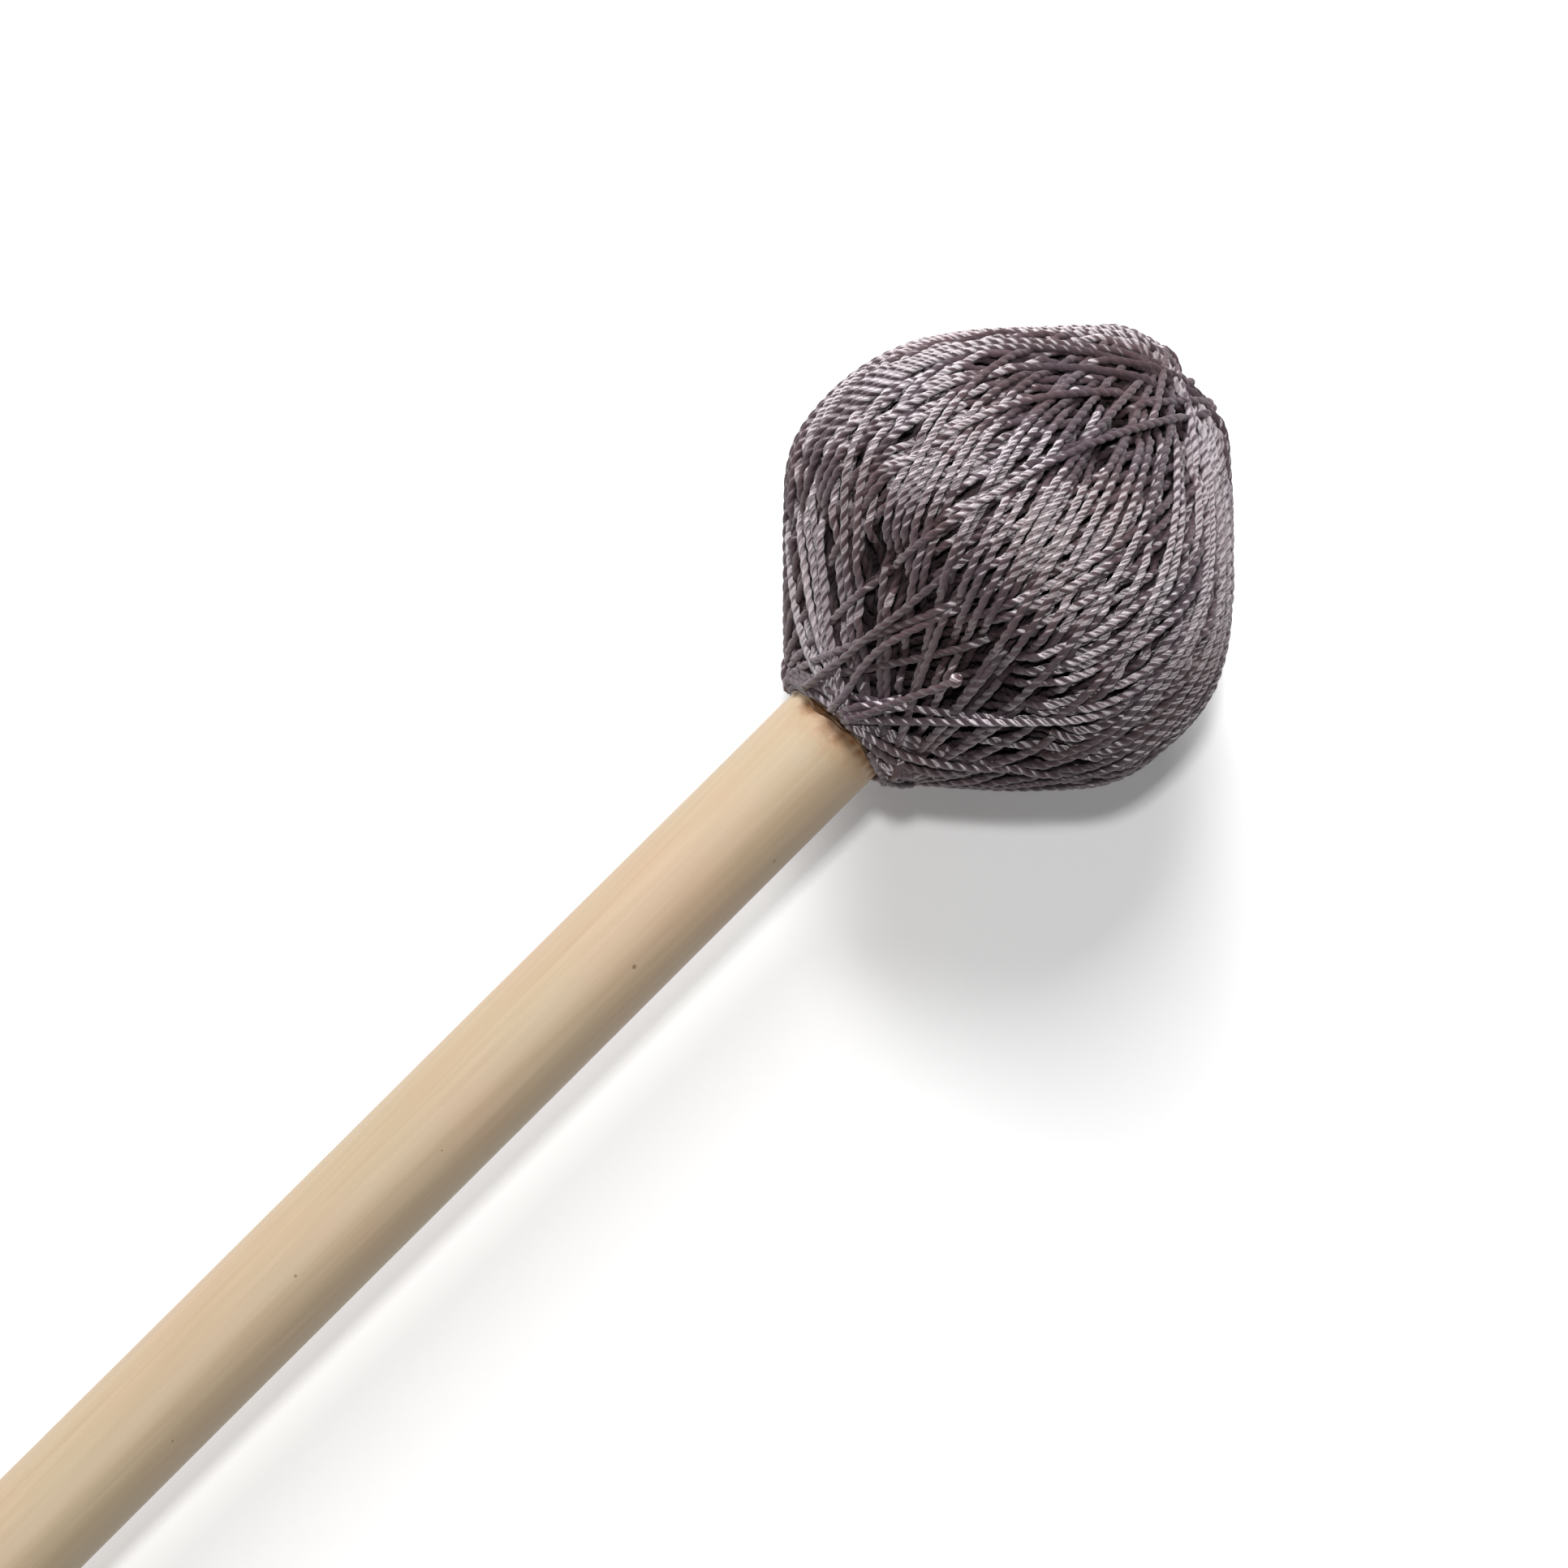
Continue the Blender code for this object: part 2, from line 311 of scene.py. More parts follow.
# The azimuths (degrees) at which loops climb past the belly; each comes down 160 degrees
# behind. Loops whose rank is higher are laid later, so they lie on top: the two fans at
# the sides first, the loops that pass the middle of the picture under them.
RANK = (
    (-180, -152, -140, -60, -38, -25, 25, 42, 60, 100, 115, 135, 180),
    (0.68, 0.70, 0.92, 1.00, 0.75, 0.32, 0.28, 0.60, 0.74, 0.78, 0.78, 0.70, 0.68),
)
ALL_ROUND = list(np.arange(-180, 180, 4.0))
GROUPS = (
    dict(
        at=list(np.arange(-180, 180, 2.1)), neck=(4.94, 5.3), crown=(1.8, 4.4), stray=1.1, reach=0.4, keep=0.0,
        sink=0.0, each=0.17,
    ),
    dict(at=ALL_ROUND, neck=(5.0, 6.4), crown=(2.2, 5.0), stray=2.0, reach=2.0, keep=0.10, sink=0.2, each=0.02),
    dict(at=ALL_ROUND, neck=(5.2, 7.0), crown=(2.2, 6.0), stray=2.0, reach=3.0, keep=0.05, sink=0.2, each=0.0),
    dict(at=ALL_ROUND, neck=(5.2, 7.0), crown=(2.2, 6.0), stray=2.0, reach=3.0, keep=0.035, sink=0.2, each=0.0),
)


# Short stretches over the two hollows in the middle of the picture, by azimuth (degrees) and
# depth: those that climb to the right of the axis, then those that climb to its left.
NECK_LATTICE = (
    ((-19, 0.05), (-2, 0.3), (25, 0.2)),
    ((-11, 0.35), (11, 0.1), (30, 0.15), (39, 0.3), (48, 0.1), (58, 0.25), (69, 0.15), (-44, 0.1), (-61, 0.2),
     (-80, 0.05)),
)
CROWN_LATTICE = (
    ((-24, 0.1), (6, 0.15)),
    ((-10, 0.1), (16, 0.15)),
)


def lattice(rng):
    """The strands that bridge the hollows, each diving under the rest at its far end."""
    s, a, heading = (row[0] for row in loop_paths(np.array([5.0]), np.array([2.6])))
    top = int(np.argmax(s))
    s, a, heading = s[:top], a[:top], heading[:top]
    for places, low, high, at in ((NECK_LATTICE, 0.0, 17.0, 6.0), (CROWN_LATTICE, 32.5, 99.0, 40.5)):
        part = (s >= low) & (s <= high)
        for way, strands in zip((1.0, -1.0), places):
            for degrees, depth in strands:
                where = math.radians(degrees + 1.5 * rng.standard_normal())
                lean = 1 + 0.12 * rng.standard_normal()
                aa = where + way * lean * (a[part] - np.interp(at, s, a))
                far = 1.5 * rng.random()
                if at < 20:
                    dive = step_up(s[part], 9.5 + far, 15.0 + far)
                    flat = step_up(s[part], 0.5, 3.0)
                else:
                    dive = step_up(-s[part], -38.0 + far, -33.5 + far)
                    flat = 1.0
                z = -CORD_R - 0.04 - depth * flat - 1.7 * dive
                yield s[part], aa, way * heading[part], z, dive < 0.12


def wind():
    """Every strand of the cover, topmost first: s, azimuth, heading, height and openness."""
    rng = np.random.default_rng(23)
    space, strands = Space(), []
    q = np.arange(space.rows) * space.step
    open_ends = step_up(-q, -15, -7.5) + 0.12 * step_up(q, 34, 40)
    hollow = 0.75 * step_up(q, 0.8, 2.5) * step_up(-q, -12, -7)
    for degrees in (-76, -64, -52, -40, 24, 36, 48, 60, 72):
        space.lower_near(hollow * 0.5, np.array([0.0, 60.0]), np.radians([degrees, degrees + 3.0]), 0.26)
    for s, a, heading, z, held in lattice(np.random.default_rng(7)):
        space.fill(s[held], a[held], heading[held], z[held])
        strands.append((s, a, heading, z, np.ones(len(s))))
    wave = [(k, 6.28 * rng.random(), rng.standard_normal()) for k in (9, 14, 21, 30)]
    for g in GROUPS:
        at = np.array(g["at"], float)
        n = len(at)
        neck = g["neck"][0] + (g["neck"][1] - g["neck"][0]) * rng.random(n)
        crown = g["crown"][0] + (g["crown"][1] - g["crown"][0]) * rng.random(n)
        paths = loop_paths(neck, crown)
        rank = np.interp((at + 180) % 360 - 180, *RANK)
        rank = rank + sum(0.075 * size * np.sin(k * np.radians(at) + phase) for k, phase, size in wave)
        rank = rank + 0.26 * rng.standard_normal(n)
        b = at + g["stray"] * rng.standard_normal(n)
        space.lower(open_ends * g["sink"])
        for i in np.argsort(-rank):
            s, a, heading = paths[:, i]
            top = int(np.argmax(s))
            back = np.flatnonzero(s[top:] <= s[0] + 0.02)
            end = top + int(back[0]) if len(back) else len(s) - 1
            s, a, heading = s[: end + 1], a[: end + 1], heading[: end + 1]
            a = a - np.interp(20.0, s[:top], a[:top]) + math.radians(b[i])
            best = None
            mid = (s > 9) & (s < 38)
            for shift in np.linspace(-g["reach"], g["reach"], 21):
                z = space.room(s, a + shift / 16.78, heading)
                share = space.open_share(s[mid], a[mid] + shift / 16.78, heading[mid])
                cost = -z[mid].mean() - 1.5 * share + 0.02 * abs(shift)
                if best is None or cost < best[0]:
                    best = cost, a + shift / 16.78, z, share
            _, a, z, share = best
            if share < g["keep"]:
                continue
            z = np.maximum(eased(z, 0.2, 0.42), floor_under(s) + CORD_R)
            strands.append((s, a, heading, z, space.fill(s, a, heading, z)))
            space.lower_near(open_ends * g["each"], s[:top], a[:top], 0.26)
            space.lower_near(open_ends * g["each"], s[top:], a[top:], 0.26)
        print("strands", len(strands), "belly covered", space.covered(12, 34))
    return strands


# ---------------------------------------------------------------- cord geometry
# A two-ply cord's section: (angle, radius), with a groove between the plies.
SECTION = (
    (0, 0.280),
    (30, 0.270),
    (60, 0.236),
    (90, 0.185),
    (120, 0.236),
    (150, 0.270),
    (180, 0.280),
    (210, 0.270),
    (240, 0.236),
    (270, 0.185),
    (300, 0.236),
    (330, 0.270),
)
LAY = 1.9  # mm for a ply to go once round


def fuller(s, a):
    """How far the real head stands out from the even outline, on its two sides."""
    side = np.sin(a)
    left = np.interp(
        s,
        (2, 8, 13, 17, 24, 28, 31.5, 37, 41, 44, 46, 47.2),
        (0, -0.35, -0.30, 0.0, 0.1, 0.38, 0.55, 0.85, 1.45, 1.15, 0.4, 0.05),
    )
    right = np.interp(s, (20, 25, 30, 36, 40, 43, 46, 47.2), (0, 0.25, 0.1, 0.1, 0.3, 0.40, 0.1, 0.05))
    crown = 0.32 * step_up(s, 39, 45)
    return crown + left * np.clip(-side, 0, 1) ** 1.2 + right * np.clip(side, 0, 1) ** 1.2


def on_head(s, a, z):
    """Points in the mallet's axis frame for places on the head, z above its surface."""
    z = z + 0.10 + fuller(s, a)
    r = HEAD.at("r", s) + z * HEAD.at("dh", s)
    h = HEAD.at("h", s) - z * HEAD.at("dr", s)
    return np.column_stack([-r * np.cos(a), -r * np.sin(a), NECK + h])


def normals_on_head(s, a):
    nr, nh = HEAD.at("dh", s), -HEAD.at("dr", s)
    return np.column_stack([-nr * np.cos(a), -nr * np.sin(a), nh])


def stations(points, seen, fine=0.19, coarse=0.62):
    """Places along a line, close together where it shows and wide apart where it is covered."""
    run = np.concatenate([[0], np.cumsum(np.linalg.norm(np.diff(points, axis=0), axis=1))])
    wide = np.maximum(seen, np.maximum(np.roll(seen, 2), np.roll(seen, -2)))
    pace = 1 / np.where(wide > 0.03, fine, coarse)
    count = np.concatenate([[0], np.cumsum((pace[1:] + pace[:-1]) / 2 * np.diff(run))])
    n = max(int(round(count[-1])), 3)
    return run, np.interp(np.linspace(0, count[-1], n + 1), count, run)


def carried(run, at, columns):
    return np.column_stack([np.interp(at, run, columns[:, k]) for k in range(columns.shape[1])])


def cord_rings(points, ups, at, phase, section=SECTION, lay=LAY, scale=THICK):
    """Rings of a twisted cord along a line: (rings, corners, 3)."""
    t = np.gradient(points, at, axis=0)
    t /= np.linalg.norm(t, axis=1, keepdims=True)
    n = ups - (ups * t).sum(1, keepdims=True) * t
    n /= np.linalg.norm(n, axis=1, keepdims=True)
    b = np.cross(t, n)
    angle = np.radians([q[0] for q in section])
    radius = np.array([q[1] for q in section]) * scale
    turn = phase + 2 * math.pi * at / lay
    full = angle[None, :] + turn[:, None]
    return (
        points[:, None, :]
        + (radius * np.cos(full))[:, :, None] * n[:, None, :]
        + (radius * np.sin(full))[:, :, None] * b[:, None, :]
    )


class CordMesh:
    """Collects cords and makes one mesh of them."""

    def __init__(self):
        self.verts, self.quads, self.caps, self.tones, self.depths = [], [], [], [], []
        self.maps, self.ends, self.twists, self.sunk, self.sunk_caps = [], [], [], [], []
        self.count = 0

    def add(self, rings, tone, depth=None):
        n, k = rings.shape[:2]
        base = self.count + np.arange(n)[:, None] * k + np.arange(k)[None, :]
        nxt = np.roll(base, -1, axis=1)
        quads = np.stack([base[:-1], nxt[:-1], nxt[1:], base[1:]], -1).reshape(-1, 4)
        self.verts.append(rings.reshape(-1, 3))
        self.quads.append(quads)
        self.caps.append(base[0][::-1])
        self.caps.append(base[-1])
        along, round_ = np.linspace(0, 1, n), np.linspace(0, 1, k + 1)
        u = np.stack([along[:-1], along[:-1], along[1:], along[1:]], -1)[:, None, :] + np.zeros((1, k, 1))
        v = np.stack([round_[:-1], round_[1:], round_[1:], round_[:-1]], -1)[None] + np.zeros((n - 1, 1, 1))
        self.maps.append(np.stack([u, v], -1).reshape(-1, 2))
        self.ends.append(k)
        middle = rings.mean(1)
        turns = np.concatenate([[0], np.cumsum(np.linalg.norm(np.diff(middle, axis=0), axis=1))]) / LAY
        turns = np.stack([turns[:-1], turns[:-1], turns[1:], turns[1:]], -1)[:, None, :] + np.zeros((1, k, 1))
        self.twists.append(turns.ravel())
        self.tones.append(np.full(n * k, tone))
        depth = np.zeros(n) if depth is None else depth
        self.depths.append(np.repeat(depth, k))
        # Faces deeper than 0.45 take the cord's painted-shade copy.
        self.sunk.append(np.repeat(depth[:-1] > 0.45, k))
        self.sunk_caps += [depth[0] > 0.45, depth[-1] > 0.45]
        self.count += n * k

    def build(self, name, *looks):
        verts = world(np.vstack(self.verts)).astype(np.float32)
        quads = np.vstack(self.quads)
        caps = self.caps
        loops = np.concatenate([quads.ravel(), *caps]).astype(np.int32)
        sizes = np.concatenate([np.full(len(quads), 4), [len(c) for c in caps]])
        starts = np.concatenate([[0], np.cumsum(sizes)[:-1]]).astype(np.int32)
        mesh = bpy.data.meshes.new(name)
        mesh.vertices.add(len(verts))
        mesh.vertices.foreach_set("co", verts.ravel())
        mesh.loops.add(len(loops))
        mesh.loops.foreach_set("vertex_index", loops)
        mesh.polygons.add(len(sizes))
        mesh.polygons.foreach_set("loop_start", starts)
        mesh.update(calc_edges=True)
        mesh.validate()
        mesh.shade_smooth()
        tone = mesh.attributes.new("tone", "FLOAT", "POINT")
        tone.data.foreach_set("value", np.concatenate(self.tones).astype(np.float32))
        # The depth in the winding, which the cord's material turns into painted shade.
        deep = mesh.attributes.new("deep", "FLOAT", "POINT")
        deep.data.foreach_set("value", np.concatenate(self.depths).astype(np.float32))
        # The OFBake map has a row for each strand, its two ends as small discs beside it. The
        # other one is sheared by the twist, so that its lines run along the strands' fibres.
        rows, flat, fibre = len(self.maps), [], []
        for i, (uv, twist) in enumerate(zip(self.maps, self.twists)):
            flat.append(np.column_stack([0.02 + 0.96 * uv[:, 0], (i + 0.08 + 0.84 * uv[:, 1]) / rows]))
            fibre.append(np.column_stack([uv[:, 0], uv[:, 1] + twist]))
        for i, k in enumerate(self.ends):
            turn = np.linspace(0, 2 * math.pi, k, endpoint=False)
            for x in (0.009, 0.991):
                flat.append(np.column_stack([x + 0.006 * np.cos(turn), (i + 0.5 + 0.3 * np.sin(turn)) / rows]))
                fibre.append(flat[-1])
        for map_name, places in (("OFBake", flat), ("fibres", fibre)):
            places = np.vstack(places).astype(np.float32).ravel()
            mesh.uv_layers.new(name=map_name).data.foreach_set("uv", places)
        for look in looks:
            mesh.materials.append(look)
        # Deep faces get the second look, the cord's painted-shade copy.
        if len(looks) > 1:
            sunk = np.concatenate([*self.sunk, self.sunk_caps]).astype(np.int32)
            mesh.polygons.foreach_set("material_index", sunk)
        obj = bpy.data.objects.new(name, mesh)
        bpy.context.scene.collection.objects.link(obj)
        return obj


# ---------------------------------------------------------------- materials
def new_material(name):
    m = bpy.data.materials.new(name)
    m.use_nodes = True
    nt = m.node_tree
    return m, nt, nt.nodes["Principled BSDF"]


def add(nt, kind, **values):
    """A node with some inputs or settings filled in."""
    node = nt.nodes.new(kind)
    for key, value in values.items():
        if key in node.inputs:
            node.inputs[key].default_value = value
        else:
            setattr(node, key, value)
    return node


def noise(nt, vector, scale, detail=3.0, rough=0.5):
    node = add(nt, "ShaderNodeTexNoise", Scale=scale, Detail=detail, Roughness=rough)
    nt.links.new(vector, node.inputs["Vector"])
    return node.outputs["Fac"]


def ramp(nt, fac, *stops):
    node = nt.nodes.new("ShaderNodeValToRGB")
    e = node.color_ramp.elements
    while len(e) < len(stops):
        e.new(0.5)
    for k, (at, colour) in enumerate(stops):
        e[k].position, e[k].color = at, (*colour, 1)
    nt.links.new(fac, node.inputs["Fac"])
    return node.outputs["Color"]


def blend(nt, fac, a, b, kind="MIX"):
    node = nt.nodes.new("ShaderNodeMix")
    node.data_type, node.blend_type = "RGBA", kind
    sockets = [q for q in node.inputs if q.enabled]
    for socket, value in zip(sockets, (fac, a, b)):
        if isinstance(value, (int, float)):
            socket.default_value = value
        elif isinstance(value, tuple):
            socket.default_value = (*value, 1)
        else:
            nt.links.new(value, socket)
    return [q for q in node.outputs if q.enabled][0]


def spread(nt, value, low, high, to_low, to_high):
    node = add(nt, "ShaderNodeMapRange")
    node.clamp = True
    nt.links.new(value, node.inputs["Value"])
    for key, v in (("From Min", low), ("From Max", high), ("To Min", to_low), ("To Max", to_high)):
        node.inputs[key].default_value = v
    return node.outputs["Result"]


def bumped(nt, p, height, distance, strength=1.0):
    node = add(nt, "ShaderNodeBump", Strength=strength, Distance=distance)
    nt.links.new(height, node.inputs["Height"])
    nt.links.new(node.outputs["Normal"], p.inputs["Normal"])


def cord_material(name, lit_copy):
    """Mercerised two-ply cord: each strand a tone of its own, with painted shade that darkens it in the winding's
    depth.
    """
    m, nt, p = new_material(name)
    tone = add(nt, "ShaderNodeAttribute", attribute_name="tone").outputs["Fac"]
    deep = add(nt, "ShaderNodeAttribute", attribute_name="deep").outputs["Fac"]
    where = nt.nodes.new("ShaderNodeTexCoord").outputs["Object"]
    own = ramp(nt, tone, (0.0, (0.058, 0.034, 0.039)), (1.0, (0.106, 0.067, 0.076)))
    patch = noise(nt, where, 160.0, 2.0)
    tint = ramp(nt, patch, (0.35, (0.93, 0.97, 1.08)), (0.65, (1.07, 0.98, 0.93)))
    own = blend(nt, 1.0, own, tint, "MULTIPLY")
    # Painted shade: the deeper a strand lies in the winding, the more its colour goes to this dark brown.
    own = blend(nt, spread(nt, deep, 0.12, 0.85, 0.0, 0.92), own, (0.036, 0.024, 0.026))
    nt.links.new(own, p.inputs["Base Color"])
    rough = add(nt, "ShaderNodeMath", operation="ADD")
    nt.links.new(spread(nt, patch, 0.3, 0.7, 0.50, 0.58), rough.inputs[0])
    nt.links.new(spread(nt, deep, 0.1, 0.9, 0.0, 0.4), rough.inputs[1])
    nt.links.new(rough.outputs["Value"], p.inputs["Roughness"])
    fibres = add(nt, "ShaderNodeTangent", direction_type="UV_MAP", uv_map="fibres")
    nt.links.new(fibres.outputs["Tangent"], p.inputs["Tangent"])
    p.inputs["Anisotropic"].default_value = 1.0
    p.inputs["Anisotropic Rotation"].default_value = 0.25
    # The dull copy, with weak reflections, is painted shade for the faces deepest in the winding.
    p.inputs["IOR"].default_value = 2.15 if lit_copy else 1.35
    p.inputs["Specular IOR Level"].default_value = 1.0 if lit_copy else 0.5
    p.inputs["Specular Tint"].default_value = (1.0, 0.94, 0.97, 1)
    p.inputs["Sheen Weight"].default_value = 0.04
    p.inputs["Sheen Roughness"].default_value = 0.4
    return m


def yarn_material():
    m, nt, p = new_material("filling_yarn")
    where = nt.nodes.new("ShaderNodeTexCoord").outputs["Object"]
    fuzz = noise(nt, where, 2600.0, 4.0, 0.7)
    nt.links.new(ramp(nt, fuzz, (0.3, (0.045, 0.030, 0.031)), (0.7, (0.100, 0.069, 0.070))), p.inputs["Base Color"])
    p.inputs["Roughness"].default_value = 0.9
    p.inputs["Sheen Weight"].default_value = 0.1
    bumped(nt, p, fuzz, 0.0001, 0.6)
    return m


def rubber_material():
    m, nt, p = new_material("moulded_rubber")
    where = nt.nodes.new("ShaderNodeTexCoord").outputs["Object"]
    grain = noise(nt, where, 1800.0, 3.0)
    nt.links.new(ramp(nt, grain, (0.35, (0.018, 0.018, 0.019)), (0.7, (0.035, 0.034, 0.033))), p.inputs["Base Color"])
    nt.links.new(spread(nt, grain, 0.3, 0.7, 0.55, 0.75), p.inputs["Roughness"])
    bumped(nt, p, grain, 0.00005, 0.5)
    return m


def glue_material(name, colour):
    m, nt, p = new_material(name)
    where = nt.nodes.new("ShaderNodeTexCoord").outputs["Object"]
    cloud = noise(nt, where, 700.0, 3.0)
    dark = tuple(0.45 * c for c in colour)
    nt.links.new(ramp(nt, cloud, (0.35, dark), (0.65, colour)), p.inputs["Base Color"])
    nt.links.new(spread(nt, cloud, 0.3, 0.7, 0.22, 0.4), p.inputs["Roughness"])
    bumped(nt, p, cloud, 0.00008, 0.4)
    return m


# Flecks in the cane, glue stains by the neck, and broad warmer, slightly darker patches round the shaft next to the
# neck: (height, degrees, size) in millimetres.
FLECKS = (
    (344.3, 24, 0.20), (356.3, 55, 0.18), (326.5, 18, 0.11), (313.8, 4, 0.13), (300.5, 35, 0.11),
    (268.0, 120, 0.34), (231.0, -75, 0.30), (190.0, 60, 0.34), (140.0, -150, 0.40), (88.0, 15, 0.34),
    (41.0, 95, 0.30), (338.0, 170, 0.34),
)
STAINS = (
    (365.4, -42, 0.95), (365.5, -30, 0.7), (365.32, -7, 1.15), (365.45, 7, 0.85), (365.58, 19, 0.6), (365.58, 31, 0.6),
    (365.58, 44, 0.6), (365.58, 57, 0.6), (365.58, 70, 0.6), (365.58, 84, 0.6), (365.6, -70, 0.5), (365.5, 150, 0.8),
    (365.5, -140, 0.7),
)
WARMTH = ((365.4, -30, 2.6), (365.2, -8, 2.4), (365.3, 16, 2.2), (365.2, 48, 2.4), (365.4, 80, 2.2), (365.3, 160, 2.4))


def cane_material():
    """Sanded rattan: fine lengthwise fibres, soft patches, small flecks, stained and tinted warmer at the neck."""
    m, nt, p = new_material("sanded_rattan")
    where = nt.nodes.new("ShaderNodeTexCoord").outputs["Object"]
    turned = add(nt, "ShaderNodeMapping")
    turned.inputs["Rotation"].default_value = (0.0, TILT, 0.0)
    turned.inputs["Scale"].default_value = (0.018, 1.0, 1.0)
    nt.links.new(where, turned.inputs["Vector"])
    fibres = noise(nt, turned.outputs["Vector"], 2400.0, 4.0, 0.6)
    bands = noise(nt, turned.outputs["Vector"], 520.0, 2.0)
    patches = noise(nt, where, 90.0, 3.0)
    base = ramp(nt, fibres, (0.25, (0.412, 0.310, 0.205)), (0.75, (0.462, 0.355, 0.245)))
    base = blend(nt, 0.5, base, ramp(nt, bands, (0.35, (0.94, 0.93, 0.91)), (0.65, (1.06, 1.06, 1.07))), "MULTIPLY")
    base = blend(nt, 0.8, base, ramp(nt, patches, (0.35, (1.03, 0.975, 0.97)), (0.65, (0.985, 1.02, 1.0))), "MULTIPLY")
    wobble = noise(nt, where, 1500.0, 3.0)
    for places, colour, strength, edge in (
        (FLECKS, (0.155, 0.075, 0.035), 0.75, 0.25),
        (WARMTH, (0.40, 0.245, 0.130), 0.4, 0.3),
        (STAINS, (0.190, 0.078, 0.024), 0.95, 0.6),
    ):
        for h, degrees, size in places:
            q = math.radians(degrees)
            middle = world([-4.0 * math.cos(q), -4.0 * math.sin(q), h])
            far = add(nt, "ShaderNodeVectorMath", operation="DISTANCE")
            nt.links.new(where, far.inputs[0])
            far.inputs[1].default_value = tuple(float(v) for v in middle)
            shifted = add(nt, "ShaderNodeMath", operation="MULTIPLY_ADD")
            nt.links.new(wobble, shifted.inputs[0])
            shifted.inputs[1].default_value = -size * MM * 0.9
            nt.links.new(far.outputs["Value"], shifted.inputs[2])
            near = spread(nt, shifted.outputs["Value"], -size * MM * edge * 0.6, size * MM * 0.55, strength, 0.0)
            base = blend(nt, near, base, colour)
    nt.links.new(base, p.inputs["Base Color"])
    nt.links.new(spread(nt, fibres, 0.3, 0.7, 0.42, 0.52), p.inputs["Roughness"])
    p.inputs["Specular IOR Level"].default_value = 0.32
    bumped(nt, p, fibres, 0.00003, 0.35)
    return m


def simple_material(name, colour, rough):
    m, nt, p = new_material(name)
    p.inputs["Base Color"].default_value = (*colour, 1)
    p.inputs["Roughness"].default_value = rough
    return m


# ---------------------------------------------------------------- building the pieces
# The second cord look is a painted-shade copy of the first, darker and duller, for faces deep in the winding.
CORD, SHADED_CORD = cord_material("mercerised_cord", True), cord_material("sunk_cord", False)
rng = np.random.default_rng(23)
strands = wind()
collect, made, length = CordMesh(), [], 0.0
for s, a, heading, z, seen in strands:
    if seen.max() < 0.05:
        continue
    pts, ups = on_head(s, a, z), normals_on_head(s, a)
    run, at = stations(pts, seen)
    pts, ups = carried(run, at, pts), carried(run, at, ups)
    length += at[-1]
    # Painted shade: a strand is painted darker the deeper it lies below the top, with less of it over the belly.
    level = CORD_R + 0.45 * np.interp(np.interp(at, run, s), (11, 16, 32, 38), (0, 1, 1, 0))
    depth = np.clip((-np.interp(at, run, z) - level) / 1.3, 0, 1)
    collect.add(cord_rings(pts, ups, at, rng.random() * 6.28), rng.random(), depth)
    if collect.count * 2 > 180000:
        made.append(collect.build(f"winding_{len(made) + 1:02d}", CORD, SHADED_CORD))
        collect = CordMesh()
if collect.count:
    made.append(collect.build(f"winding_{len(made) + 1:02d}", CORD, SHADED_CORD))
print("strands", len(strands), "length m", length / 1000, "pieces", len(made))
for obj in made:
    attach(obj, "root")
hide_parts("cord_cover")

# The inner winding, seen only in the depth between strands.
rows = HEAD.s[::6]
ring = np.linspace(0, 2 * math.pi, 200, endpoint=False)
deep = floor_under(rows) - 0.05
deep = deep * (1 - 0.7 * step_up(rows, 43.5, 46))
ridge = np.maximum(
    np.cos(2 * math.pi * rows[:, None] / 1.3 + 3 * ring[None, :]),
    np.cos(2 * math.pi * rows[:, None] / 1.45 - 4 * ring[None, :]),
)
yarn = deep[:, None] + 0.13 * (ridge - 1)
yarn = np.maximum(yarn, deep[:, None] * 1.6)
pts = np.concatenate([on_head(np.full(200, q), ring, z) for q, z in zip(rows, yarn)])
under = CordMesh()
under.add(pts.reshape(len(rows), 200, 3), 0.5)
under = under.build("under_layer", yarn_material())
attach(under, "root")
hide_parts("under_winding")


def laid_cord(places, step=0.2, tone=None, phase=None, thick=THICK, tip=False):
    """Rings of a cord laid over the head through (s, degrees, height) places."""
    q = smooth_line([(s, math.radians(a) * 9, z) for s, a, z in places], step)
    pts, ups = on_head(q[:, 0], q[:, 1] / 9, q[:, 2]), normals_on_head(q[:, 0], q[:, 1] / 9)
    return free_cord(pts, ups, thick, phase, tip)


def free_cord(pts, ups, thick=THICK, phase=None, tip=False):
    run = np.concatenate([[0], np.cumsum(np.linalg.norm(np.diff(pts, axis=0), axis=1))])
    at = np.linspace(0, run[-1], max(int(run[-1] / 0.2), 4) + 1)
    pts, ups = carried(run, at, pts), carried(run, at, ups)
    rings = cord_rings(pts, ups, at, rng.random() * 6.28 if phase is None else phase, scale=thick)
    if tip:  # the cut end, sealed into a small bead
        middle = pts[-1]
        way = pts[-1] - pts[-2]
        way = way / np.linalg.norm(way)
        extra = []
        for ahead, size in ((0.08, 1.5), (0.26, 1.9), (0.48, 1.9), (0.68, 1.45), (0.80, 0.65)):
            extra.append(middle + way * ahead + (rings[-1] - middle) * size)
        rings = np.concatenate([rings, np.array(extra)])
    return rings


def round_neck(turns, start, radius, height, rise, seed):
    """A cord wound round the shaft at the neck."""
    g = np.random.default_rng(seed)
    n = int(turns * 140)
    a = start + np.linspace(0, turns * 2 * math.pi, n)
    wave = sum(
        0.035 * g.standard_normal() * np.sin(k * a + g.random() * 6.28) for k in (2, 3, 5, 7)
    )
    r = radius + wave * 0.7
    h = height + rise * np.linspace(0, 1, n) + wave
    pts = np.column_stack([-r * np.cos(a), -r * np.sin(a), NECK + h])
    ups = np.column_stack([-np.cos(a), -np.sin(a), np.zeros(n)])
    return free_cord(pts, ups)


